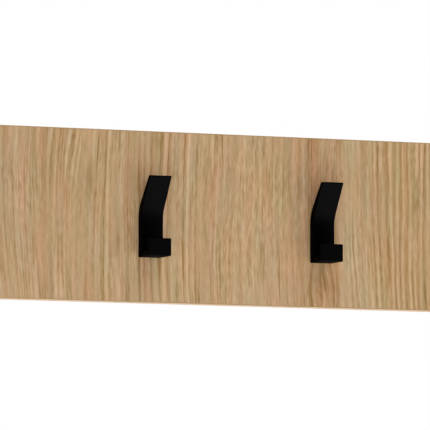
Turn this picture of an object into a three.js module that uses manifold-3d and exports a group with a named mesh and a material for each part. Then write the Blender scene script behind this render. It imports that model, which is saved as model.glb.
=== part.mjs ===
// Wall hook rack: an oak-faced board with a row of black double hooks.
//
// Millimetres. +X runs along the board, +Z is up and the wall is on the +Y side, so the hooks
// point towards -Y. The origin is the centre of the board's back, the face that lies on the wall.
//
// Each hook is one solid casting: a plate that lies on the board, an arm that leaves the board at
// the top and narrows towards its tip, and a square foot with a small upturned lip. Two machine
// screws hold it from behind, through the board. Two keyhole plates, let into the back of the
// board, hang the rack on two wall screws.

import * as THREE from 'three';
import { mergeVertices } from 'three/addons/utils/BufferGeometryUtils.js';
import Module from 'manifold-3d';

const wasm = await Module();
wasm.setup();

// Driving dimensions

const HOOK_COUNT = 4;
const HOOK_PITCH = 200;

const BOARD_HEIGHT = 183;
const BOARD_THICKNESS = 18;
const BOARD_LENGTH = HOOK_COUNT * HOOK_PITCH;

const BAND_THICKNESS = 1; // plastic edge band
const BAND_ROUNDING = 0.7;

const SEAM = 0.1; // glue line, and the hairline between faces that lie on each other
const CLEARANCE = 0.3; // around anything that stands in a hole or a pocket

const HOOK_WIDTH = 25;
const HOOK_HEIGHT = 85.1;
const HOOK_FOOT_Z = -43.7; // underside of the foot, from the board's centre line
const HOOK_REACH = 31.2; // front of the lip, from the board
const HOOK_PLATE = 9;
const HOOK_EDGE = 0.5; // chamfer round both sides of the casting
const LIP_THICKNESS = 6;
const LIP_HEIGHT = 18.8;
const SLOT_RADIUS = 2; // inner corners of the foot
const CORNER_RADIUS = 1;
const TIP_RADIUS = 1.2;

// The arm's two faces leave the plate at these heights, and lean out by SLOPE mm for each mm up.
const ARM_FRONT = { height: 46.9, slope: 0.636, bendRadius: 20 };
const ARM_BACK = { height: 51.6, slope: 0.862, bendRadius: 30 };

// Countersunk screws, all with a 90 degree head and a cross recess.
const HOOK_SCREW = { radius: 2, headRadius: 3.75, length: 22, sunk: 0.2 };
const HOOK_SCREW_HEIGHTS = { lower: 10, upper: 30 }; // above the underside of the foot
const HOOK_SCREW_HOLE_DEPTH = 6;
const PLATE_SCREW = { radius: 1.5, headRadius: 2.9, length: 12, sunk: 0.1 };
const HEAD_RIM = 0.3; // straight edge of a screw head
const SCREW_POINT = 0.6; // chamfer at the end of the shank
const RECESS = { length: 0.62, width: 0.16, depth: 0.5 }; // as parts of the head's diameter

const HANGER_SPACING = 700;
const HANGER_Z = 55;
const HANGER = { width: 20, height: 60, thickness: 1.5, radius: 4, sunk: 0.2, screwOffset: 23 };
const KEYHOLE = { radius: 5.2, slotRadius: 2.6, centre: -7, slotTop: 8 };
const HEAD_ROOM = { radius: 6.5, depth: 8 }; // hollow behind the keyhole for the wall screw's head

const ARC_POINTS = 3; // a rounded corner has twice as many steps
const ROUND_SIDES = 24;

// Materials

const oak = new THREE.MeshStandardMaterial({ color: 0xb69670, roughness: 0.6, metalness: 0 });
const oakBand = new THREE.MeshStandardMaterial({ color: 0xa98a63, roughness: 0.55, metalness: 0 });
const blackCoat = new THREE.MeshStandardMaterial({ color: 0x121212, roughness: 0.5, metalness: 0 });
const zinc = new THREE.MeshStandardMaterial({ color: 0xb9bcc0, roughness: 0.35, metalness: 0.9 });

// Solids

function toManifold(geometry) {
  const bare = geometry.clone();
  bare.deleteAttribute('normal');
  bare.deleteAttribute('uv');
  const merged = mergeVertices(bare, 1e-4);
  return new wasm.Manifold(new wasm.Mesh({
    numProp: 3,
    vertProperties: new Float32Array(merged.attributes.position.array),
    triVerts: new Uint32Array(merged.index.array),
  }));
}

function cut(geometry, cutters) {
  let solid = toManifold(geometry);
  for (const cutter of cutters) {
    solid = solid.subtract(toManifold(cutter));
  }
  const mesh = solid.getMesh();
  const result = new THREE.BufferGeometry();
  result.setAttribute('position', new THREE.BufferAttribute(mesh.vertProperties, 3));
  result.setIndex(new THREE.BufferAttribute(mesh.triVerts, 1));
  result.computeVertexNormals();
  return result;
}

// A closed outline through corners [x, y, radius], each rounded by an arc.
function roundedOutline(corners) {
  const shape = new THREE.Shape();
  corners.forEach(([x, y, radius], i) => {
    const corner = new THREE.Vector2(x, y);
    const [beforeX, beforeY] = corners.at(i - 1);
    const [afterX, afterY] = corners.at((i + 1) % corners.length);
    const before = new THREE.Vector2(beforeX, beforeY).sub(corner).normalize();
    const after = new THREE.Vector2(afterX, afterY).sub(corner).normalize();
    const halfAngle = before.angleTo(after) / 2;
    const inwards = before.clone().add(after).normalize();
    const centre = corner.clone().addScaledVector(inwards, radius / Math.sin(halfAngle));
    const tangent = radius / Math.tan(halfAngle);
    const start = corner.clone().addScaledVector(before, tangent).sub(centre);
    const end = corner.clone().addScaledVector(after, tangent).sub(centre);
    const turnsRight = before.cross(after) > 0;
    shape.absarc(centre.x, centre.y, radius, start.angle(), end.angle(), turnsRight);
  });
  return shape;
}

function roundedRectangle(width, height, radius) {
  const x = width / 2;
  const y = height / 2;
  return roundedOutline([[-x, -y, radius], [x, -y, radius], [x, y, radius], [-x, y, radius]]);
}

function extrude(shape, depth, options = {}) {
  return new THREE.ExtrudeGeometry(shape, {
    depth,
    bevelEnabled: false,
    curveSegments: ARC_POINTS,
    ...options,
  });
}

// Turns a shape drawn in X and Y into one that stands in X and Z and runs towards -Y.
function standOnEdge(geometry) {
  const toFront = new THREE.Vector3(0, -1, 0);
  return geometry.applyMatrix4(new THREE.Matrix4().makeBasis(
    new THREE.Vector3(1, 0, 0), new THREE.Vector3(0, 0, 1), toFront,
  ));
}

function latheAlongY(profile) {
  const points = profile.map(([radius, y]) => new THREE.Vector2(radius, y));
  return new THREE.LatheGeometry(points, ROUND_SIDES);
}

// A round hole of this radius, open at both ends of the span.
function drill(radius, fromY, toY) {
  return latheAlongY([[0, fromY], [radius, fromY], [radius, toY], [0, toY]]);
}

// Screws: the head's flat face is at y = 0 and the shank runs towards -Y.

function screwGeometry({ radius, headRadius, length }) {
  const coneEnd = -HEAD_RIM - (headRadius - radius);
  const body = latheAlongY([
    [0, -length],
    [radius - SCREW_POINT, -length],
    [radius, -length + SCREW_POINT],
    [radius, coneEnd],
    [headRadius, -HEAD_RIM],
    [headRadius, 0],
    [0, 0],
  ]);
  const across = 2 * headRadius;
  const recess = [RECESS.length, RECESS.depth, RECESS.width].map((part) => part * across);
  const slot = new THREE.BoxGeometry(...recess);
  const crossSlot = slot.clone().rotateY(Math.PI / 2);
  return cut(body, [slot, crossSlot]);
}

// The hole that clears such a screw, deep enough to pass right through a piece of this thickness.
function screwHole({ radius, headRadius, sunk }, thickness) {
  const widening = CLEARANCE * Math.SQRT2;
  const coneTop = -sunk - HEAD_RIM;
  const coneEnd = coneTop - (headRadius + widening - radius - CLEARANCE);
  return latheAlongY([
    [0, -thickness - 1],
    [radius + CLEARANCE, -thickness - 1],
    [radius + CLEARANCE, coneEnd],
    [headRadius + widening, coneTop],
    [headRadius + widening, 1],
    [0, 1],
  ]);
}

// Board

const coreHeight = BOARD_HEIGHT - 2 * (BAND_THICKNESS + SEAM);
const coreLength = BOARD_LENGTH - 2 * (BAND_THICKNESS + SEAM);
const hookXs = Array.from({ length: HOOK_COUNT }, (_, i) => (i - (HOOK_COUNT - 1) / 2) * HOOK_PITCH);
const hookScrewZs = Object.values(HOOK_SCREW_HEIGHTS).map((height) => HOOK_FOOT_Z + height);
const hangerXs = [-HANGER_SPACING / 2, HANGER_SPACING / 2];

function pocket(shape, depth) {
  return standOnEdge(extrude(shape, depth + 1)).translate(0, 1, 0);
}

function hangerPockets() {
  const seat = roundedRectangle(
    HANGER.width + 2 * CLEARANCE,
    HANGER.height + 2 * CLEARANCE,
    HANGER.radius,
  );
  const roomHeight = KEYHOLE.slotTop - KEYHOLE.centre + 2 * HEAD_ROOM.radius;
  const room = roundedRectangle(2 * HEAD_ROOM.radius, roomHeight, HEAD_ROOM.radius - 0.5);
  const seatDepth = HANGER.sunk + HANGER.thickness + CLEARANCE;
  const pilotRadius = PLATE_SCREW.radius + CLEARANCE;
  const pilotEnd = -HANGER.sunk - PLATE_SCREW.length - 1;
  const pilots = [-1, 1].map((side) => (
    drill(pilotRadius, pilotEnd, 1).translate(0, 0, side * HANGER.screwOffset)
  ));
  const roomZ = (KEYHOLE.centre + KEYHOLE.slotTop) / 2;
  return [pocket(seat, seatDepth), pocket(room, HEAD_ROOM.depth).translate(0, 0, roomZ), ...pilots];
}

function boardCore() {
  const block = new THREE.BoxGeometry(coreLength, BOARD_THICKNESS, coreHeight);
  block.translate(0, -BOARD_THICKNESS / 2, 0);
  const screwHoles = hookXs.flatMap((x) => (
    hookScrewZs.map((z) => screwHole(HOOK_SCREW, BOARD_THICKNESS).translate(x, 0, z))
  ));
  const pockets = hangerXs.flatMap((x) => (
    hangerPockets().map((cutter) => cutter.translate(x, 0, HANGER_Z))
  ));
  return cut(block, [...screwHoles, ...pockets]);
}

// A band along X, lying on z = 0, with its outer long edges rounded.
function edgeBand(length) {
  const half = BOARD_THICKNESS / 2;
  const section = roundedOutline([
    [-half, 0, 0.05],
    [half, 0, 0.05],
    [half, BAND_THICKNESS, BAND_ROUNDING],
    [-half, BAND_THICKNESS, BAND_ROUNDING],
  ]);
  const band = extrude(section, length).translate(0, 0, -length / 2);
  const alongY = new THREE.Vector3(0, 1, 0);
  const alongZ = new THREE.Vector3(0, 0, 1);
  return band.applyMatrix4(
    new THREE.Matrix4().makeBasis(alongY, alongZ, new THREE.Vector3(1, 0, 0)),
  );
}

// Hook, drawn from the side: x is the distance from the board, y the height above the foot.

function hookOutline() {
  const faceAt = (face) => face.slope * (HOOK_HEIGHT - face.height);
  const slotFront = HOOK_REACH - LIP_THICKNESS;
  return roundedOutline([
    [0, 0, CORNER_RADIUS],
    [HOOK_REACH, 0, CORNER_RADIUS],
    [HOOK_REACH, LIP_HEIGHT, CORNER_RADIUS],
    [slotFront, LIP_HEIGHT, CORNER_RADIUS],
    [slotFront, LIP_THICKNESS, SLOT_RADIUS],
    [HOOK_PLATE, LIP_THICKNESS, SLOT_RADIUS],
    [HOOK_PLATE, ARM_FRONT.height, ARM_FRONT.bendRadius],
    [HOOK_PLATE + faceAt(ARM_FRONT), HOOK_HEIGHT, TIP_RADIUS],
    [faceAt(ARM_BACK), HOOK_HEIGHT, TIP_RADIUS],
    [0, ARM_BACK.height, ARM_BACK.bendRadius],
  ]);
}

// The casting stands on z = 0 with its back on y = 0, and is centred on x = 0.
function hookGeometry() {
  const straight = HOOK_WIDTH - 2 * HOOK_EDGE;
  const casting = extrude(hookOutline(), straight, {
    bevelEnabled: true,
    bevelThickness: HOOK_EDGE,
    bevelSize: HOOK_EDGE,
    bevelOffset: -HOOK_EDGE,
    bevelSegments: 1,
  });
  casting.translate(0, 0, -straight / 2);
  casting.applyMatrix4(new THREE.Matrix4().makeBasis(
    new THREE.Vector3(0, -1, 0), new THREE.Vector3(0, 0, 1), new THREE.Vector3(-1, 0, 0),
  ));
  const holes = Object.values(HOOK_SCREW_HEIGHTS).map((z) => (
    drill(HOOK_SCREW.radius + CLEARANCE, -HOOK_SCREW_HOLE_DEPTH, 1).translate(0, 0, z)
  ));
  return cut(casting, holes);
}

// Keyhole plate

function keyholePath() {
  const { radius, slotRadius, centre, slotTop } = KEYHOLE;
  const opening = Math.acos(slotRadius / radius);
  const path = new THREE.Path();
  path.absarc(0, centre, radius, Math.PI - opening, 2 * Math.PI + opening, false);
  path.absarc(0, slotTop, slotRadius, 0, Math.PI, false);
  return path;
}

function hangerPlate() {
  const outline = roundedRectangle(HANGER.width, HANGER.height, HANGER.radius);
  outline.holes.push(keyholePath());
  const plate = standOnEdge(extrude(outline, HANGER.thickness, { curveSegments: 2 * ARC_POINTS }));
  const holes = [-1, 1].map((side) => (
    screwHole(PLATE_SCREW, HANGER.thickness).translate(0, 0, side * HANGER.screwOffset)
  ));
  return cut(plate, holes);
}

// Assembly

function named(name, geometry, material, x = 0, y = 0, z = 0) {
  const mesh = new THREE.Mesh(geometry, material);
  mesh.name = name;
  mesh.position.set(x, y, z);
  return mesh;
}

function makeBoard() {
  const group = new THREE.Group();
  const middleY = -BOARD_THICKNESS / 2;
  const bandZ = BOARD_HEIGHT / 2 - BAND_THICKNESS;
  const bandX = BOARD_LENGTH / 2 - BAND_THICKNESS;
  const top = named('edge_band_top', edgeBand(BOARD_LENGTH), oakBand, 0, middleY, bandZ);
  const bottom = named('edge_band_bottom', edgeBand(BOARD_LENGTH), oakBand, 0, middleY, -bandZ);
  bottom.rotation.x = Math.PI;
  const left = named('edge_band_left', edgeBand(coreHeight), oakBand, -bandX, middleY, 0);
  left.rotation.y = -Math.PI / 2;
  const right = named('edge_band_right', edgeBand(coreHeight), oakBand, bandX, middleY, 0);
  right.rotation.y = Math.PI / 2;
  group.add(named('board_core', boardCore(), oak), top, bottom, left, right);
  return group;
}

function makeHook(number) {
  const group = new THREE.Group();
  group.position.set(hookXs[number - 1], 0, HOOK_FOOT_Z);
  group.add(named(`hook_${number}`, hookGeometry(), blackCoat, 0, -BOARD_THICKNESS - SEAM, 0));
  for (const [place, z] of Object.entries(HOOK_SCREW_HEIGHTS)) {
    const name = `hook_${number}_screw_${place}`;
    group.add(named(name, screwGeometry(HOOK_SCREW), zinc, 0, -HOOK_SCREW.sunk, z));
  }
  return group;
}

function makeHanger(side, x) {
  const group = new THREE.Group();
  group.position.set(x, -HANGER.sunk, HANGER_Z);
  group.add(named(`hanger_plate_${side}`, hangerPlate(), zinc));
  for (const [place, sign] of [['lower', -1], ['upper', 1]]) {
    const name = `hanger_${side}_screw_${place}`;
    const z = sign * HANGER.screwOffset;
    group.add(named(name, screwGeometry(PLATE_SCREW), zinc, 0, -PLATE_SCREW.sunk, z));
  }
  return group;
}

const rack = new THREE.Group();
rack.add(makeBoard());
hookXs.forEach((_, i) => rack.add(makeHook(i + 1)));
rack.add(makeHanger('left', hangerXs[0]), makeHanger('right', hangerXs[1]));

export default rack;
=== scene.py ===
"""Looks of the wall hook rack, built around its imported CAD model.

Metres, and millimetres inside the materials. +X runs along the board, +Z is up, the wall is at +Y
and the hooks point towards -Y.
"""

import math

import bmesh
import bpy
from mathutils import Color, Matrix, Vector


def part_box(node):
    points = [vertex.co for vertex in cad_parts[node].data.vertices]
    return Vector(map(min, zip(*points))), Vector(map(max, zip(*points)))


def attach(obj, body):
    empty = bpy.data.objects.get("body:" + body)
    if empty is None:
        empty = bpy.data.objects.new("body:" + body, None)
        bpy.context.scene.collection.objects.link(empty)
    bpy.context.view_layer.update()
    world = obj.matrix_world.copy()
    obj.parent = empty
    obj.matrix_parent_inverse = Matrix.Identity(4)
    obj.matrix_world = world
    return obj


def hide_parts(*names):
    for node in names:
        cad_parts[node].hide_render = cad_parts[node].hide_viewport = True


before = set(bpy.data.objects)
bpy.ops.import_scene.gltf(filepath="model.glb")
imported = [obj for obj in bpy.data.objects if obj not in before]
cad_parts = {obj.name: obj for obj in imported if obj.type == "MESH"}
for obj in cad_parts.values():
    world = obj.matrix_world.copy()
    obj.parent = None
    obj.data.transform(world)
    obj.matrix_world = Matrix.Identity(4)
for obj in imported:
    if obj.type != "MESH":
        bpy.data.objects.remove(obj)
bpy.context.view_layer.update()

MM = 0.001
BODY = "root"
HOOK_NODES = [f"hook_{number}" for number in (1, 2, 3, 4)]

# Hook. Its outline is seen from the side: distances from the board and heights above the foot.
EDGE_RADIUS = 0.7 * MM  # round the outline, on both sides of the casting
CORNER_RADIUS = 1 * MM  # at the corners of the foot and the lip
TIP_RADIUS = 1.3 * MM  # at the tip of the arm
SLOT_RADIUS = 2 * MM  # at the bottom of the slot between the lip and the plate
LIP_THICKNESS = 6 * MM  # also that of the foot, under the slot
LIP_HEIGHT = 18.8 * MM
HOOK_REACH = 31.2 * MM
HOOK_PLATE = 9 * MM
# Faces of the arm: height where each bends away from the board, distance that it then gains per
# height, and radius of the bend.
ARM_FRONT = {"height": 46.9 * MM, "slope": 0.636, "bend_radius": 20 * MM}
ARM_BACK = {"height": 51.6 * MM, "slope": 0.862, "bend_radius": 30 * MM}

# Steps in round stretches.
ARC_STEPS = 8  # in a rounded corner
EDGE_STEPS = 4  # in a rounded edge
ROUND_SIDES = 32  # in a full circle
SHARP_ANGLE = math.radians(40)

# Screws: what the CAD boxes don't say.
CLEARANCE = 0.3 * MM  # between a screw and the side of its hole
HOOK_HOLE_DEPTH = 6 * MM
DRILL_CONE = 0.5  # height of the cone at the bottom of a hole, as a part of its radius
DRILL_TIP_RADIUS = 0.1 * MM
HEAD_RIM = 0.3 * MM  # height of the straight rim above a head's cone
RIM_BEVEL = {"in": 0.15 * MM, "down": 0.1 * MM}  # round the top of the rim
# Kinds of screw: radius of the shank, pitch and depth of the thread, length without thread under
# the head, and length of the point.
HOOK_SCREW = {
    "shank": 2 * MM,
    "pitch": 0.7 * MM,
    "thread": 0.36 * MM,
    "plain": 2 * MM,
    "point": 0.6 * MM,
}
WOOD_SCREW = {
    "shank": 1.5 * MM,
    "pitch": 1.3 * MM,
    "thread": 0.5 * MM,
    "plain": 1 * MM,
    "point": 3 * MM,
}
ROWS_PER_TURN = 6
CREST_SHARPNESS = 2.4  # 1 would make a crest as wide as the pitch
POINT_BLUNTNESS = 0.15  # radius left at the very end, as a part of the shank's
# Cross recess, from top to bottom, as parts of the head's diameter: height above the head's
# face, reach of the arms, and half their width.
RECESS = [(0.125, 0.357, 0.088), (-0.2, 0.155, 0.064), (-0.25, 0.05, 0.04)]
OVERCUT = 1 * MM  # how far a cutter passes beyond the face it opens

# Keyhole plates: radius of their corners, and of their rounded edges. The keyhole is a circle with
# a slot above it that ends in a half circle: radii of the two, and heights of their centres above
# the plate's middle.
PLATE_CORNER = 4 * MM
PLATE_EDGE = 0.3 * MM
KEYHOLE = {"radius": 5.2 * MM, "slot_radius": 2.6 * MM, "centre": -7 * MM, "slot_top": 8 * MM}
KEYHOLE_STEPS = {"circle": 24, "slot": 16}


# Outlines and solids


def rounded_outline(corners):
    """Points of a closed outline through corners (x, y, radius), each rounded by an arc."""
    points = []
    for index, (x, y, radius) in enumerate(corners):
        corner = Vector((x, y))
        before = (Vector(corners[index - 1][:2]) - corner).normalized()
        after = (Vector(corners[(index + 1) % len(corners)][:2]) - corner).normalized()
        half_angle = before.angle(after) / 2
        centre = corner + (before + after).normalized() * radius / math.sin(half_angle)
        spoke = corner + before * radius / math.tan(half_angle) - centre
        turn = math.pi - 2 * half_angle
        if before.cross(after) > 0:
            turn = -turn
        for step in range(ARC_STEPS + 1):
            points.append(centre + Matrix.Rotation(turn * step / ARC_STEPS, 2) @ spoke)
    return points


def inset(corners, amount):
    """The same outline moved inwards, every arc about its own centre. Corners run anticlockwise."""
    moved = []
    for index, (x, y, radius) in enumerate(corners):
        corner = Vector((x, y))
        arriving = (corner - Vector(corners[index - 1][:2])).normalized()
        leaving = (Vector(corners[(index + 1) % len(corners)][:2]) - corner).normalized()
        inwards = Vector((-arriving.y - leaving.y, arriving.x + leaving.x)).normalized()
        shifted = corner + inwards * amount / math.cos(arriving.angle(leaving) / 2)
        convex = arriving.cross(leaving) > 0
        moved.append((shifted.x, shifted.y, radius - amount if convex else radius + amount))
    return moved


def rounded_prism(corners, width, edge_radius, place):
    """A mesh of the outline drawn out to this width, with both its side edges rounded.

    place(along, x, y) puts a point of the outline, x and y, at its distance along the width.
    """
    quarter = [math.pi / 2 * step / EDGE_STEPS for step in range(EDGE_STEPS + 1)]
    profile = [
        (width / 2 - edge_radius * (1 - math.cos(angle)), edge_radius * (1 - math.sin(angle)))
        for angle in quarter
    ]
    layers = [(-along, amount) for along, amount in profile]
    layers += [(along, amount) for along, amount in reversed(profile)]
    return lofted([
        [place(along, *point) for point in rounded_outline(inset(corners, amount))]
        for along, amount in layers
    ])


def lofted(rings):
    """A closed mesh through rings of points, all with the same number of points in step."""
    solid = bmesh.new()
    layers = [[solid.verts.new(point) for point in ring] for ring in rings]
    for layer, following in zip(layers, layers[1:]):
        for index in range(len(layer)):
            behind = index - 1
            solid.faces.new((layer[behind], layer[index], following[index], following[behind]))
    solid.faces.new(layers[0])
    solid.faces.new(layers[-1])
    bmesh.ops.recalc_face_normals(solid, faces=solid.faces)
    return solid


def circle(centre, radius, y):
    """Points of a circle that faces along Y. radius may be a function of the angle."""
    points = []
    for side in range(ROUND_SIDES):
        angle = 2 * math.pi * side / ROUND_SIDES
        reach = radius(angle) if callable(radius) else radius
        points.append((centre.x + reach * math.cos(angle), y, centre.z + reach * math.sin(angle)))
    return points


def round_bar(centre, profile):
    """A solid of revolution about Y, through (radius, y) pairs."""
    return lofted([circle(centre, radius, y) for radius, y in profile])


def as_object(solid, name):
    """Turns a bmesh into an object in the scene, and frees it."""
    mesh = bpy.data.meshes.new(name)
    solid.to_mesh(mesh)
    solid.free()
    made = bpy.data.objects.new(name, mesh)
    bpy.context.scene.collection.objects.link(made)
    return made


def carve(solid, cutters):
    """The solid with every cutter cut out of it."""
    body = as_object(solid, "body")
    tools = [as_object(cutter, "cutter") for cutter in cutters]
    for tool in tools:
        cut = body.modifiers.new("cut", "BOOLEAN")
        cut.operation = "DIFFERENCE"
        cut.solver = "EXACT"
        cut.object = tool
    cut_body = body.evaluated_get(bpy.context.evaluated_depsgraph_get())
    result = bmesh.new()
    result.from_mesh(cut_body.to_mesh())
    cut_body.to_mesh_clear()
    for used in [body, *tools]:
        mesh = used.data
        bpy.data.objects.remove(used)
        bpy.data.meshes.remove(mesh)
    return result


def make_piece(name, solid, material, slot, *replaced):
    """A smooth-shaded object of a bmesh, riding on the rack and standing for CAD nodes."""
    piece = as_object(solid, name)
    piece.data.shade_smooth()
    piece.data.set_sharp_from_angle(angle=SHARP_ANGLE)
    piece.data.materials.append(material)
    normals = piece.modifiers.new("even normals", "WEIGHTED_NORMAL")
    normals.keep_sharp = True
    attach(piece, BODY)
    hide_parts(*replaced)
    return piece


# Materials

BYTE_MAX = 255
NOISE_MIDDLE = 0.5
NOISE_LOW = 0.3  # a noise of some detail seldom goes below this
NOISE_HIGH = 0.7  # or above this
# The sockets of a Mix node that carry its colours.
MIX_FIRST = 6
MIX_SECOND = 7
MIX_RESULT = 2


def srgb(red, green, blue):
    """A colour given in 8-bit sRGB, as the linear RGBA that a shader takes."""
    parts = [value / BYTE_MAX for value in (red, green, blue)]
    return (*Color(parts).from_srgb_to_scene_linear(), 1.0)


def grey(value):
    """A linear grey, as RGBA."""
    return (value, value, value, 1.0)


class Surface:
    """One material's node tree, with a short call for each kind of node that it is made of."""

    def __init__(self, name):
        self.material = bpy.data.materials.new(name)
        self.material.use_nodes = True
        self.tree = self.material.node_tree
        self.shader = self.tree.nodes["Principled BSDF"]
        coordinates = self.add("ShaderNodeTexCoord").outputs["Object"]
        scaling = {"Vector": coordinates, "Scale": 1 / MM}
        self.millimetres = self.add("ShaderNodeVectorMath", scaling, operation="SCALE").outputs[0]

    def add(self, kind, inputs=None, **settings):
        """A new node. The keys of inputs are names or numbers of its sockets."""
        node = self.tree.nodes.new(kind)
        for setting, value in settings.items():
            setattr(node, setting, value)
        for key, value in (inputs or {}).items():
            self.feed(node.inputs[key], value)
        return node

    def feed(self, socket, value):
        if isinstance(value, bpy.types.NodeSocket):
            self.tree.links.new(value, socket)
        else:
            socket.default_value = value

    def math(self, operation, *values):
        return self.add("ShaderNodeMath", dict(enumerate(values)), operation=operation).outputs[0]

    def axes(self, vector):
        return self.add("ShaderNodeSeparateXYZ", {0: vector}).outputs

    def vector(self, x, y, z):
        return self.add("ShaderNodeCombineXYZ", {0: x, 1: y, 2: z}).outputs[0]

    def noise(self, vector, size, detail):
        """Noise between 0 and 1 whose features are about size (x, y, z) millimetres."""
        division = {0: vector, 1: size}
        scaled = self.add("ShaderNodeVectorMath", division, operation="DIVIDE").outputs[0]
        inputs = {"Vector": scaled, "Scale": 1.0, "Detail": detail}
        return self.add("ShaderNodeTexNoise", inputs).outputs["Fac"]

    def clouds(self, size, detail):
        """Noise that is alike in all directions, with features of about size millimetres."""
        return self.noise(self.millimetres, (size, size, size), detail)

    def rescale(self, value, low, high, to_low=0.0, to_high=1.0, smooth=False):
        """value taken from the range low to high to the range to_low to to_high, and clamped."""
        interpolation = "SMOOTHSTEP" if smooth else "LINEAR"
        inputs = dict(enumerate((value, low, high, to_low, to_high)))
        return self.add("ShaderNodeMapRange", inputs, interpolation_type=interpolation).outputs[0]

    def ramp(self, value, stops):
        """Colour that follows value through stops (position, colour)."""
        node = self.add("ShaderNodeValToRGB", {0: value})
        elements = node.color_ramp.elements
        while len(elements) < len(stops):
            elements.new(0.5)  # its own place is set below
        for element, (position, colour) in zip(elements, stops):
            element.position = position
            element.color = colour
        return node.outputs["Color"]

    def mottle(self, noise, low_colour, high_colour):
        """Colour that follows a noise from one shade to another."""
        return self.ramp(noise, [(NOISE_LOW, low_colour), (NOISE_HIGH, high_colour)])

    def blend(self, amount, first, second, mode="MIX"):
        """Colour that goes from first to second, or to both multiplied, as amount goes to 1."""
        inputs = {"Factor": amount, MIX_FIRST: first, MIX_SECOND: second}
        node = self.add("ShaderNodeMix", inputs, data_type="RGBA", blend_type=mode)
        return node.outputs[MIX_RESULT]

    def finish(self, colour, roughness, height, depth, **constants):
        """Feeds the shader. height is a socket from 0 to 1, and depth its relief in metres."""
        self.feed(self.shader.inputs["Base Color"], colour)
        self.feed(self.shader.inputs["Roughness"], roughness)
        bump = self.add("ShaderNodeBump", {"Height": height, "Distance": depth, "Strength": 1.0})
        self.feed(self.shader.inputs["Normal"], bump.outputs[0])
        for name, value in constants.items():
            self.shader.inputs[name.replace("_", " ")].default_value = value
        return self.material

    def vanish_from_behind(self):
        """Lets a view from behind the faces, such as from under a floor, pass through them."""
        clear = self.add("ShaderNodeBsdfTransparent").outputs[0]
        behind = self.add("ShaderNodeNewGeometry").outputs["Backfacing"]
        mixed = self.add("ShaderNodeMixShader", {0: behind, 1: self.shader.outputs[0], 2: clear})
        self.feed(self.tree.nodes["Material Output"].inputs["Surface"], mixed.outputs[0])


# Oak, in millimetres. A size is that of a noise's features across, through and along the grain.
# Bends of the grain: size, and swing from one side to the other.
OAK_BENDS = [((160, 400, 600), 30), ((40, 200, 160), 8), ((14, 80, 30), 1.9)]
# Streaks: size, tone where the grain is short and lively, and tone where it runs long and calm.
OAK_STREAKS = [
    ((6, 200, 260), 0.2, 0.25),
    ((3.0, 150, 220), 0.6, 0.8),
    ((2.4, 90, 60), 0.3, 0.34),
    ((1.8, 60, 10), 0.58, 0.42),
]
OAK_LIVELY = {"centre": 15, "half": 130}  # where along the board the grain is lively
# Strength of the streaks, which comes and goes with a noise.
OAK_STRENGTH = {"size": (26, 200, 60), "from": 0.35, "to": 0.65, "least": 0.55, "most": 1.4}
OAK_DARK_LINES = {"size": (3.0, 150, 80), "from": 0.61, "to": 0.75, "tone": -0.3}
# Growth rings: distance apart, how far they wander from even and over what size, and tone.
OAK_RINGS = {"pitch": 8.6, "wander": 16, "wander_size": (40, 300, 500), "tone": 0.055}
# Pores: their noise, how much of their colour shows, and how deep they are in the relief.
OAK_PORES = {"size": (0.8, 60, 11), "from": 0.6, "to": 0.74, "share": 0.3, "depth": 0.6}
PORE_COLOUR = srgb(128, 96, 60)
# Shades of the wood by its tone, which is 0.5 in the middle.
MIDDLE_TONE = 0.5
OAK_SHADES = [
    (0.0, srgb(150, 116, 70)),
    (0.25, srgb(170, 137, 94)),
    (MIDDLE_TONE, srgb(186, 154, 115)),
    (0.75, srgb(197, 166, 129)),
    (1.0, srgb(204, 175, 139)),
]
# Casts of colour: size, tint where the noise is high, and tint where it is low.
OAK_CASTS = [
    ((11, 200, 70), (1.055, 0.985, 0.975, 1), (0.945, 1.015, 1.02, 1)),
    ((16, 150, 100), (0.99, 1.01, 0.97, 1), (1.01, 0.99, 1.03, 1)),
]
CAST_REACH = 0.25  # how far from its middle the noise gives the full tint
OAK_ROUGHNESS = (0.62, 0.52)  # where the wood is dark, and where it is light
OAK_RELIEF = 0.05 * MM
OAK_SPECULAR = 0.3

# The board's own figure, in millimetres from its middle.
# Marks in the veneer: centre along the board, half width, and change of tone.
OAK_MARKS = [
    (-256, 14, 0.07),
    (-226, 18, -0.06),
    (-153, 2.2, -0.26),
    (-149, 2.4, 0.32),
    (-127, 2.2, -0.16),
    (-113, 2.2, -0.16),
    (-110, 20, -0.05),
    (-89, 2.2, -0.20),
    (-84, 2.4, 0.18),
    (-79, 2.2, -0.16),
    (-62, 2.2, -0.34),
    (-57, 2.6, 0.36),
    (-66, 20, 0.07),
    (20, 22, 0.06),
    (94, 42, -0.13),
    (140, 18, 0.07),
    (179, 3, -0.14),
    (184, 2.6, 0.14),
    (202, 40, -0.05),
]
# Stronger growth rings: centre along the board, half width, and added tone.
OAK_STRIPES = [(-84, 42, 0.13), (200, 52, 0.21)]
# Wood of another colour: centre along the board, half width, and tint.
OAK_TINTS = [
    (97, 45, (1.02, 0.955, 0.985, 1)),
    (137, 26, (0.99, 1.05, 1.06, 1)),
    (205, 60, (1, 0.985, 0.93, 1)),
]
# Leaning grain: centre along the board, half width, lean at mid height, and lean gained per
# millimetre down.
OAK_LEANS = [
    (0, 900, 0.02, 0.0005),
    (-256, 45, 0.02, 0.0002),
    (-220, 70, 0, 0.0006),
    (-172, 60, -0.04, 0.0002),
]
# Small dark knot: centre along the board and height, half width and half height, how strongly it
# parts the grain, and its change of tone and tint.
OAK_KNOT = {
    "centre": (101, -72),
    "half": (26, 34),
    "parting": 0.52,
    "tone": -0.14,
    "tint": (1.02, 0.975, 0.96, 1),
}
VENEER_DEPTH = 0.05  # how far below a face the veneer's colour reaches

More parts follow.
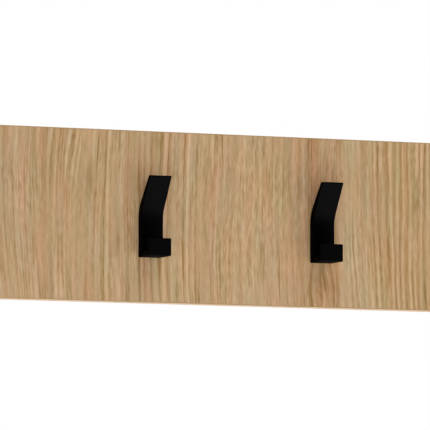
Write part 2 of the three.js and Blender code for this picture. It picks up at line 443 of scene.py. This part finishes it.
# Chipboard inside the board, and the plastic of its edge bands.
CHIPS_PER_MM = 0.8
CHIP_SHADES = [
    (0.0, srgb(126, 92, 56)),
    (0.5, srgb(176, 140, 94)),
    (1.0, srgb(206, 174, 128)),
]
PLASTIC_SHADES = (srgb(168, 137, 98), srgb(180, 150, 111))
PLASTIC_SPECKLE = 0.8
BAND_PRINTED = (0.75, 0.9)  # how squarely a face looks outwards where the print starts and is full
BAND_ROUGHNESS = (0.58, 0.46)
BAND_RELIEF = 0.03 * MM
BAND_SPECULAR = 0.35

# Black coat, with sizes in millimetres.
COAT_PEEL = 0.9
COAT_GRAIN = 0.18
COAT_GRAIN_HEIGHT = 0.35  # as a part of the peel's
COAT_CLOUDS = 14
COAT_SHADES = (grey(0.0004), grey(0.0006))
# Rubbed edges, lighter in colour partly as wear and partly as a painted highlight: pointiness where
# # the rubbing starts and is full, shade, and change of roughness.
COAT_WEAR_AND_HIGHLIGHT = {"from": 0.52, "to": 0.62, "shade": grey(0.003), "roughness": -0.08}
COAT_ROUGHNESS = (0.7, 0.8)
COAT_RELIEF = 0.02 * MM
COAT_SPECULAR = 0.016

# Zinc, with sizes in millimetres.
ZINC_BRUSHING = (0.15, 3, 3)  # along X, Y and Z
ZINC_STAINS = 5
ZINC_STAIN_SHADE = 0.85  # as a part of the clean shade
ZINC_BRUSHED = {"from": 0.2, "to": 0.8, "smooth": 0.24, "rough": 0.42}
ZINC_RELIEF = 0.01 * MM


def band_of(surface, position, centre, half, value):
    """value at the centre, falling smoothly to nothing at half to either side."""
    away = surface.math("ABSOLUTE", surface.math("SUBTRACT", position, centre))
    return surface.rescale(away, 0, half, value, 0, smooth=True)


def lean_of(surface, across, along):
    """How far the leaning, bowed grain of the veneer strays across, at each place."""
    down = surface.math("MULTIPLY", along, -1)
    strays = 0
    for centre, half, lean, bow in OAK_LEANS:
        slope = surface.math("MULTIPLY_ADD", down, bow / 2, lean)
        stray = surface.math("MULTIPLY", down, slope)
        share = band_of(surface, across, centre, half, 1)
        strays = surface.math("MULTIPLY_ADD", stray, share, strays)
    return strays


def in_knot(surface, across, height):
    """How far a place is inside the knot, from 0 at its rim to 1 in its middle."""
    shares = [
        band_of(surface, position, centre, half, 1)
        for position, centre, half in zip((across, height), OAK_KNOT["centre"], OAK_KNOT["half"])
    ]
    return surface.math("MULTIPLY", *shares)


def part_round_knot(surface, across, knot):
    """The coordinate across the grain, with the grain parted where the knot pushes it aside."""
    from_centre = surface.math("SUBTRACT", across, OAK_KNOT["centre"][0])
    parting = surface.math("MULTIPLY", knot, -OAK_KNOT["parting"])
    return surface.math("MULTIPLY_ADD", from_centre, parting, across)


def oak_grain(surface, across, along, through):
    """The coordinate across the wandering grain, and all three: across, through and along it."""
    place = surface.vector(across, through, along)
    bent = across
    for size, swing in OAK_BENDS:
        shift = surface.math("SUBTRACT", surface.noise(place, size, detail=1), NOISE_MIDDLE)
        bent = surface.math("MULTIPLY_ADD", shift, swing, bent)
    return bent, surface.vector(bent, through, along)


def oak_rings(surface, bent, grain, ring_tone):
    """Growth rings, as a wave of tone about the middle one."""
    wander = surface.noise(grain, OAK_RINGS["wander_size"], detail=1)
    phase = surface.math("MULTIPLY_ADD", wander, OAK_RINGS["wander"], bent)
    rings = surface.math("SINE", surface.math("MULTIPLY", phase, 2 * math.pi / OAK_RINGS["pitch"]))
    return surface.math("MULTIPLY_ADD", rings, ring_tone, MIDDLE_TONE)


def oak_streaks(surface, grain, lively):
    """Streaks along the grain, as a change of tone."""
    streaks = 0
    for size, lively_tone, calm_tone in OAK_STREAKS:
        streak = surface.math("SUBTRACT", surface.noise(grain, size, detail=0), NOISE_MIDDLE)
        weight = surface.math("MULTIPLY_ADD", lively, lively_tone - calm_tone, calm_tone)
        streaks = surface.math("MULTIPLY_ADD", streak, weight, streaks)
    return streaks


def oak_tone(surface, bent, grain, ring_tone, lively=1):
    """Tone of the wood from 0, dark, to 1, light: growth rings, streaks and fine dark lines."""
    tone = oak_rings(surface, bent, grain, ring_tone)
    strength = surface.rescale(
        surface.noise(grain, OAK_STRENGTH["size"], detail=1),
        OAK_STRENGTH["from"], OAK_STRENGTH["to"], OAK_STRENGTH["least"], OAK_STRENGTH["most"],
    )
    tone = surface.math("MULTIPLY_ADD", oak_streaks(surface, grain, lively), strength, tone)
    lines = surface.noise(grain, OAK_DARK_LINES["size"], detail=0)
    lines = surface.rescale(lines, OAK_DARK_LINES["from"], OAK_DARK_LINES["to"])
    return surface.math("MULTIPLY_ADD", lines, OAK_DARK_LINES["tone"], tone)


def oak_pores(surface, grain):
    """Short dark pores along the grain, from 0 to 1."""
    pores = surface.noise(grain, OAK_PORES["size"], detail=1)
    return surface.rescale(pores, OAK_PORES["from"], OAK_PORES["to"])


def oak_colour(surface, tone, pores, grain):
    """Colour of the wood by its tone, with casts of colour and dark pores."""
    wood = surface.ramp(tone, OAK_SHADES)
    for size, high_tint, low_tint in OAK_CASTS:
        cast = surface.noise(grain, size, detail=0)
        high = surface.rescale(cast, NOISE_MIDDLE, NOISE_MIDDLE + CAST_REACH)
        low = surface.rescale(cast, NOISE_MIDDLE, NOISE_MIDDLE - CAST_REACH)
        wood = surface.blend(high, wood, high_tint, "MULTIPLY")
        wood = surface.blend(low, wood, low_tint, "MULTIPLY")
    return surface.blend(surface.math("MULTIPLY", pores, OAK_PORES["share"]), wood, PORE_COLOUR)


def chipboard(surface):
    """Pressed wood chips, as they show where the board is cut into."""
    inputs = {"Vector": surface.millimetres, "Scale": CHIPS_PER_MM}
    chips = surface.add("ShaderNodeTexVoronoi", inputs)
    return surface.ramp(surface.axes(chips.outputs["Color"])[0], CHIP_SHADES)


def board_tone(surface, bent, grain, knot):
    """Tone of the board's veneer, with its stronger rings, its marks and its knot."""
    ring_tone = OAK_RINGS["tone"]
    for centre, half, added in OAK_STRIPES:
        ring_tone = surface.math("ADD", ring_tone, band_of(surface, bent, centre, half, added))
    lively = band_of(surface, bent, OAK_LIVELY["centre"], OAK_LIVELY["half"], 1)
    tone = oak_tone(surface, bent, grain, ring_tone, lively)
    for centre, half, change in OAK_MARKS:
        tone = surface.math("ADD", tone, band_of(surface, bent, centre, half, change))
    return surface.math("MULTIPLY_ADD", knot, OAK_KNOT["tone"], tone)


def tint_board(surface, oak, bent, knot):
    """The veneer's colour, with its wood of other colours and the tint of its knot."""
    for centre, half, tint in OAK_TINTS:
        oak = surface.blend(band_of(surface, bent, centre, half, 1), oak, tint, "MULTIPLY")
    return surface.blend(knot, oak, OAK_KNOT["tint"], "MULTIPLY")


def on_board_face(surface, y):
    """1 on the front and back faces of the board, and 0 inside its holes."""
    low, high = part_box("board_core")
    middle = (low.y + high.y) / 2 / MM
    half_thickness = (high.y - low.y) / 2 / MM
    from_middle = surface.math("ABSOLUTE", surface.math("SUBTRACT", y, middle))
    return surface.math("GREATER_THAN", from_middle, half_thickness - VENEER_DEPTH)


def make_oak_board():
    """Oak on the front and back faces, its grain up and down, and chipboard in every hole."""
    surface = Surface("oak board")
    x, y, z = surface.axes(surface.millimetres)
    knot = in_knot(surface, x, z)
    across = surface.math("SUBTRACT", part_round_knot(surface, x, knot), lean_of(surface, x, z))
    bent, grain = oak_grain(surface, across, z, y)
    tone = board_tone(surface, bent, grain, knot)
    pores = oak_pores(surface, grain)
    oak = tint_board(surface, oak_colour(surface, tone, pores, grain), bent, knot)
    colour = surface.blend(on_board_face(surface, y), chipboard(surface), oak)
    roughness = surface.rescale(tone, 0, 1, *OAK_ROUGHNESS)
    relief = surface.math("SUBTRACT", tone, surface.math("MULTIPLY", pores, OAK_PORES["depth"]))
    return surface.finish(colour, roughness, relief, OAK_RELIEF, Specular_IOR_Level=OAK_SPECULAR)


def make_oak_band(name, across, along, outwards):
    """Edge band: oak printed along the band, and plain plastic where its cut edges show."""
    surface = Surface(name)
    axes = dict(zip("xyz", surface.axes(surface.millimetres)))
    bent, grain = oak_grain(surface, axes[across], axes[along], axes[outwards])
    tone = oak_tone(surface, bent, grain, OAK_RINGS["tone"])
    print_colour = oak_colour(surface, tone, oak_pores(surface, grain), grain)
    normal = surface.add("ShaderNodeNewGeometry").outputs["Normal"]
    facing = dict(zip("xyz", surface.axes(normal)))[outwards]
    printed = surface.rescale(surface.math("ABSOLUTE", facing), *BAND_PRINTED)
    plastic = surface.mottle(surface.clouds(PLASTIC_SPECKLE, detail=2), *PLASTIC_SHADES)
    colour = surface.blend(printed, plastic, print_colour)
    roughness = surface.rescale(tone, 0, 1, *BAND_ROUGHNESS)
    return surface.finish(colour, roughness, tone, BAND_RELIEF, Specular_IOR_Level=BAND_SPECULAR)


def make_black_coat():
    """Matt black powder coat: fine orange peel, a dusting of grains, and edges rubbed smoother. Its
    convex edges are also lighter in colour, partly as wear and partly as a painted highlight.
    """
    surface = Surface("black coat")
    peel = surface.clouds(COAT_PEEL, detail=2)
    grains = surface.clouds(COAT_GRAIN, detail=1)
    height = surface.math("MULTIPLY_ADD", grains, COAT_GRAIN_HEIGHT, peel)
    clouds = surface.clouds(COAT_CLOUDS, detail=3)
    pointiness = surface.add("ShaderNodeNewGeometry").outputs["Pointiness"]
    # Convex edges get a lighter colour, partly as wear and partly as a painted highlight.
    wear_and_highlight = surface.rescale(pointiness, COAT_WEAR_AND_HIGHLIGHT["from"], COAT_WEAR_AND_HIGHLIGHT["to"])
    colour = surface.blend(wear_and_highlight, surface.mottle(clouds, *COAT_SHADES), COAT_WEAR_AND_HIGHLIGHT["shade"])
    roughness = surface.rescale(clouds, 0, 1, *COAT_ROUGHNESS)
    roughness = surface.math("MULTIPLY_ADD", wear_and_highlight, COAT_WEAR_AND_HIGHLIGHT["roughness"], roughness)
    return surface.finish(colour, roughness, height, COAT_RELIEF, Specular_IOR_Level=COAT_SPECULAR)


def make_zinc(name, tint):
    """Brushed zinc with darker stains. tint is its clean shade, in 8-bit sRGB."""
    surface = Surface(name)
    stained = [part * ZINC_STAIN_SHADE for part in tint]
    stains = surface.clouds(ZINC_STAINS, detail=3)
    colour = surface.mottle(stains, srgb(*stained), srgb(*tint))
    brushed = surface.noise(surface.millimetres, ZINC_BRUSHING, detail=3)
    roughness = surface.rescale(
        brushed,
        ZINC_BRUSHED["from"], ZINC_BRUSHED["to"], ZINC_BRUSHED["smooth"], ZINC_BRUSHED["rough"],
    )
    return surface.finish(colour, roughness, brushed, ZINC_RELIEF, Metallic=1.0)


oak_board = make_oak_board()
band_long = make_oak_band("oak band along x", across="y", along="x", outwards="z")
band_short = make_oak_band("oak band along z", across="y", along="z", outwards="x")
black_coat = make_black_coat()
zinc_screw = make_zinc("zinc screw", tint=(198, 202, 206))
zinc_plate = make_zinc("zinc plate", tint=(186, 190, 196))


# Hooks


def hook_corners(height):
    """The hook from the side, anticlockwise: (distance from the board, height, corner radius)."""
    def face_at_tip(face):
        return face["slope"] * (height - face["height"])
    slot_front = HOOK_REACH - LIP_THICKNESS
    return [
        (0, 0, CORNER_RADIUS),
        (HOOK_REACH, 0, CORNER_RADIUS),
        (HOOK_REACH, LIP_HEIGHT, CORNER_RADIUS),
        (slot_front, LIP_HEIGHT, CORNER_RADIUS),
        (slot_front, LIP_THICKNESS, SLOT_RADIUS),
        (HOOK_PLATE, LIP_THICKNESS, SLOT_RADIUS),
        (HOOK_PLATE, ARM_FRONT["height"], ARM_FRONT["bend_radius"]),
        (HOOK_PLATE + face_at_tip(ARM_FRONT), height, TIP_RADIUS),
        (face_at_tip(ARM_BACK), height, TIP_RADIUS),
        (0, ARM_BACK["height"], ARM_BACK["bend_radius"]),
    ]


def box_middle(node):
    """The middle of a node's box."""
    low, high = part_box(node)
    return (low + high) / 2


def blind_hole(centre, face):
    """A drilled hole into a face towards +Y, with the cone that a drill leaves."""
    radius = HOOK_SCREW["shank"] + CLEARANCE
    bottom = face - HOOK_HOLE_DEPTH
    return round_bar(centre, [
        (radius, face + OVERCUT),
        (radius, bottom),
        (DRILL_TIP_RADIUS, bottom - DRILL_CONE * radius),
    ])


def make_hook(node):
    """The casting, with blind holes in its back for its two screws."""
    low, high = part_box(node)
    middle = (low.x + high.x) / 2

    def place(along, distance, height):
        return (middle + along, high.y - distance, low.z + height)

    corners = hook_corners(high.z - low.z)
    casting = rounded_prism(corners, high.x - low.x, EDGE_RADIUS, place)
    screws = (f"{node}_screw_lower", f"{node}_screw_upper")
    holes = [blind_hole(box_middle(screw), high.y) for screw in screws]
    return make_piece(f"{node}_casting", carve(casting, holes), black_coat, "black_coat", node)


# Screws


def cross_outline(centre, reach, half_width, y):
    """The twelve corners of an upright cross that faces along Y."""
    arm = [(reach, -half_width), (reach, half_width), (half_width, half_width)]
    points = []
    for _ in range(4):
        points += [(centre.x + x, y, centre.z + z) for x, z in arm]
        arm = [(-z, x) for x, z in arm]
    return points


def cross_recess(centre, face, across):
    """The tapered cross that a screwdriver fits, for a head that faces +Y and is this wide."""
    return lofted([
        cross_outline(centre, reach * across, half_width * across, face + height * across)
        for height, reach, half_width in RECESS
    ])


def head_rings(centre, face, radius, kind):
    """Rings from the face of a countersunk head, which looks towards +Y, to its shank."""
    root = kind["shank"] - kind["thread"]
    return [
        circle(centre, radius - RIM_BEVEL["in"], face),
        circle(centre, radius, face - RIM_BEVEL["down"]),
        circle(centre, radius, face - HEAD_RIM),
        circle(centre, root, face - HEAD_RIM - (radius - root)),
    ]


def thread_reach(kind, y, rise, taper):
    """Radius of the thread at this place along the shank, as a function of the angle."""
    root = kind["shank"] - kind["thread"]

    def reach(angle):
        phase = (y / kind["pitch"] + angle / (2 * math.pi)) % 1
        crest = 1 - min(1, CREST_SHARPNESS * abs(2 * phase - 1))
        return (root + kind["thread"] * crest * rise) * taper

    return reach


def thread_rings(centre, start, end, kind):
    """Rings down the shank to its point, each wavering with the angle to make the thread."""
    rings = []
    rows = round(ROWS_PER_TURN * (start - end) / kind["pitch"])
    for row in range(rows + 1):
        y = start + (end - start) * row / rows
        rise = min(1, (start - y) / kind["pitch"])
        taper = min(1, (y - end) / kind["point"] + POINT_BLUNTNESS)
        rings.append(circle(centre, thread_reach(kind, y, rise, taper), y))
    return rings


def make_screw(node, kind):
    """A countersunk screw with a real thread and a cross recess, pointing towards -Y."""
    low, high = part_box(node)
    centre = box_middle(node)
    diameter = high.x - low.x
    start = high.y - HEAD_RIM - (diameter / 2 - kind["shank"]) - kind["plain"]
    rings = head_rings(centre, high.y, diameter / 2, kind)
    rings += thread_rings(centre, start, low.y, kind)
    solid = carve(lofted(rings), [cross_recess(centre, high.y, diameter)])
    return make_piece(f"{node}_threaded", solid, zinc_screw, "zinc_screw", node)


# Keyhole plates


def keyhole_ring(centre, growth, y):
    """The keyhole's outline, grown by this much: round its circle, then round its slot's end."""
    radius = KEYHOLE["radius"] + growth
    slot = KEYHOLE["slot_radius"] + growth
    opening = math.acos(slot / radius)
    start = math.pi - opening
    sweep = math.pi + 2 * opening
    points = []
    for step in range(KEYHOLE_STEPS["circle"] + 1):
        angle = start + sweep * step / KEYHOLE_STEPS["circle"]
        points.append((radius * math.cos(angle), KEYHOLE["centre"] + radius * math.sin(angle)))
    for step in range(KEYHOLE_STEPS["slot"] + 1):
        angle = math.pi * step / KEYHOLE_STEPS["slot"]
        points.append((slot * math.cos(angle), KEYHOLE["slot_top"] + slot * math.sin(angle)))
    return [(centre.x + x, y, centre.z + z) for x, z in points]


def countersink(screw, back, face):
    """The hole that clears a countersunk screw, from behind the plate to past its face."""
    low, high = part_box(screw)
    centre = box_middle(screw)
    head = (high.x - low.x) / 2 + CLEARANCE
    shank = WOOD_SCREW["shank"] + CLEARANCE
    cone_top = high.y - HEAD_RIM
    profile = [
        (shank, back - OVERCUT),
        (shank, cone_top - (head - shank)),
        (head, cone_top),
        (head, face + OVERCUT),
    ]
    return round_bar(centre, profile)


def make_hanger_plate(side):
    """Stamped plate with rounded edges, a keyhole with broken edges, and two countersunk holes."""
    node = f"hanger_plate_{side}"
    low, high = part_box(node)
    centre = box_middle(node)
    half_width, half_height = (high.x - low.x) / 2, (high.z - low.z) / 2
    corners = [
        (x * half_width, z * half_height, PLATE_CORNER)
        for x, z in ((-1, -1), (1, -1), (1, 1), (-1, 1))
    ]

    def place(along, x, z):
        return (centre.x + x, centre.y + along, centre.z + z)

    plate = rounded_prism(corners, high.y - low.y, PLATE_EDGE, place)
    # The keyhole widens at 45 degrees from inside each face of the plate to as far beyond it.
    keyhole = lofted([
        keyhole_ring(centre, 2 * PLATE_EDGE, high.y + PLATE_EDGE),
        keyhole_ring(centre, 0, high.y - PLATE_EDGE),
        keyhole_ring(centre, 0, low.y + PLATE_EDGE),
        keyhole_ring(centre, 2 * PLATE_EDGE, low.y - PLATE_EDGE),
    ])
    screws = (f"hanger_{side}_screw_lower", f"hanger_{side}_screw_upper")
    cutters = [keyhole] + [countersink(screw, low.y, high.y) for screw in screws]
    return make_piece(f"{node}_stamped", carve(plate, cutters), zinc_plate, "zinc_plate", node)


castings = [make_hook(node) for node in HOOK_NODES]
for node in sorted(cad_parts):
    if "_screw_" in node:
        make_screw(node, HOOK_SCREW if node.startswith("hook") else WOOD_SCREW)
for side in ("left", "right"):
    make_hanger_plate(side)


# CAD nodes that keep their shape


def dress(node, material):
    """Gives a CAD node a material in place of its own."""
    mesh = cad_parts[node].data
    mesh.materials.clear()
    mesh.materials.append(material)


dress("board_core", oak_board)
for side in ("top", "bottom"):
    dress(f"edge_band_{side}", band_long)
for side in ("left", "right"):
    dress(f"edge_band_{side}", band_short)


# Camera, lights and floor

# The camera's direction from the rack, in degrees, its distance, and the point that it aims at.
CAMERA_AZIMUTH = -23.42
CAMERA_ELEVATION = -4.83
CAMERA_DISTANCE = 6.118
AIM_RIGHT_OF_HOOK = 76.3 * MM
AIM_ABOVE_MIDDLE = 4.35 * MM
CAMERA_FIELD = 0.075058  # width of the view, as a part of the distance
CAMERA_RANGE = 100  # farthest that it sees
SENSOR_WIDTH = 36  # in millimetres, as the camera counts it

FLOOR_HEIGHT = -1.5
FLOOR_REACH = 30  # from its middle to each side
FLOOR_CELLS = 8  # along each side
FLOOR_CLOUDS = 900  # in millimetres
FLOOR_SHADES = (grey(0.80), grey(0.84))
FLOOR_ROUGHNESS = 0.8
FLOOR_RELIEF = 1 * MM


def from_front(azimuth, elevation):
    """Unit vector from the rack towards something right of, and above, straight ahead."""
    right, up = math.radians(azimuth), math.radians(elevation)
    return Vector((math.sin(right) * math.cos(up), -math.cos(right) * math.cos(up), math.sin(up)))


def add_camera():
    """The camera, aimed at a point on the board that is placed from the second hook."""
    board_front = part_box("board_core")[0].y
    target = Vector((
        box_middle("hook_2").x + AIM_RIGHT_OF_HOOK,
        board_front,
        box_middle("board_core").z + AIM_ABOVE_MIDDLE,
    ))
    towards_camera = from_front(CAMERA_AZIMUTH, CAMERA_ELEVATION)
    data = bpy.data.cameras.new("camera")
    data.sensor_width = SENSOR_WIDTH
    data.lens = SENSOR_WIDTH / CAMERA_FIELD
    data.clip_end = CAMERA_RANGE
    camera = bpy.data.objects.new("camera", data)
    camera.location = target + towards_camera * CAMERA_DISTANCE
    camera.rotation_euler = towards_camera.to_track_quat("Z", "Y").to_euler()
    bpy.context.scene.collection.objects.link(camera)
    bpy.context.scene.camera = camera


def add_sun(name, azimuth, elevation, strength, width, glossy=True):
    """A soft light without falloff. width is the angle it fills in the sky."""
    data = bpy.data.lights.new(name, "SUN")
    data.energy = strength
    data.angle = math.radians(width)
    light = bpy.data.objects.new(name, data)
    light.rotation_euler = from_front(azimuth, elevation).to_track_quat("Z", "Y").to_euler()
    light.visible_glossy = glossy
    bpy.context.scene.collection.objects.link(light)


def add_low_card(azimuth, elevation, distance, size, power, lit):
    """A round soft box under the view, which shows only in the reflections of the lit pieces."""
    data = bpy.data.lights.new("low card", "AREA")
    data.shape = "DISK"
    data.size = size
    data.energy = power
    card = bpy.data.objects.new("low card", data)
    towards_card = from_front(azimuth, elevation)
    card.location = towards_card * distance
    card.rotation_euler = towards_card.to_track_quat("Z", "Y").to_euler()
    card.visible_diffuse = False
    card.visible_camera = False
    receivers = bpy.data.collections.new("lit by the low card")
    for piece in lit:
        receivers.objects.link(piece)
    card.light_linking.receiver_collection = receivers
    bpy.context.scene.collection.objects.link(card)


def add_white_background():
    """White for the camera only, so that the soft lights alone model the rack."""
    world = bpy.data.worlds.new("white")
    bpy.context.scene.world = world
    world.use_nodes = True
    world.node_tree.nodes["Background"].inputs["Color"].default_value = (1, 1, 1, 1)
    for ray in ("diffuse", "glossy", "transmission", "scatter"):
        setattr(world.cycles_visibility, ray, False)


def add_floor():
    """A wide pale floor, which a view from below looks through."""
    surface = Surface("pale floor")
    clouds = surface.clouds(FLOOR_CLOUDS, detail=2)
    colour = surface.mottle(clouds, *FLOOR_SHADES)
    pale = surface.finish(colour, FLOOR_ROUGHNESS, clouds, FLOOR_RELIEF)
    surface.vanish_from_behind()
    plane = bmesh.new()
    bmesh.ops.create_grid(plane, x_segments=FLOOR_CELLS, y_segments=FLOOR_CELLS, size=FLOOR_REACH)
    floor = as_object(plane, "floor")
    floor.data.materials.append(pale)
    floor.location.z = FLOOR_HEIGHT


add_camera()
add_white_background()
add_floor()
add_sun("high right", azimuth=40, elevation=60, strength=1.38, width=60, glossy=False)
add_sun("high left", azimuth=-40, elevation=60, strength=0.5, width=60, glossy=False)
add_sun("front", azimuth=-10, elevation=0, strength=0.82, width=30, glossy=False)
add_sun("back top", azimuth=180, elevation=72, strength=2.95, width=30)
add_sun("back left", azimuth=-135, elevation=20, strength=1.3, width=50)
add_sun("back right", azimuth=135, elevation=20, strength=0.9, width=50)
add_low_card(azimuth=30, elevation=-49, distance=1.5, size=0.8, power=66, lit=castings)
bpy.context.scene.view_settings.view_transform = "Standard"
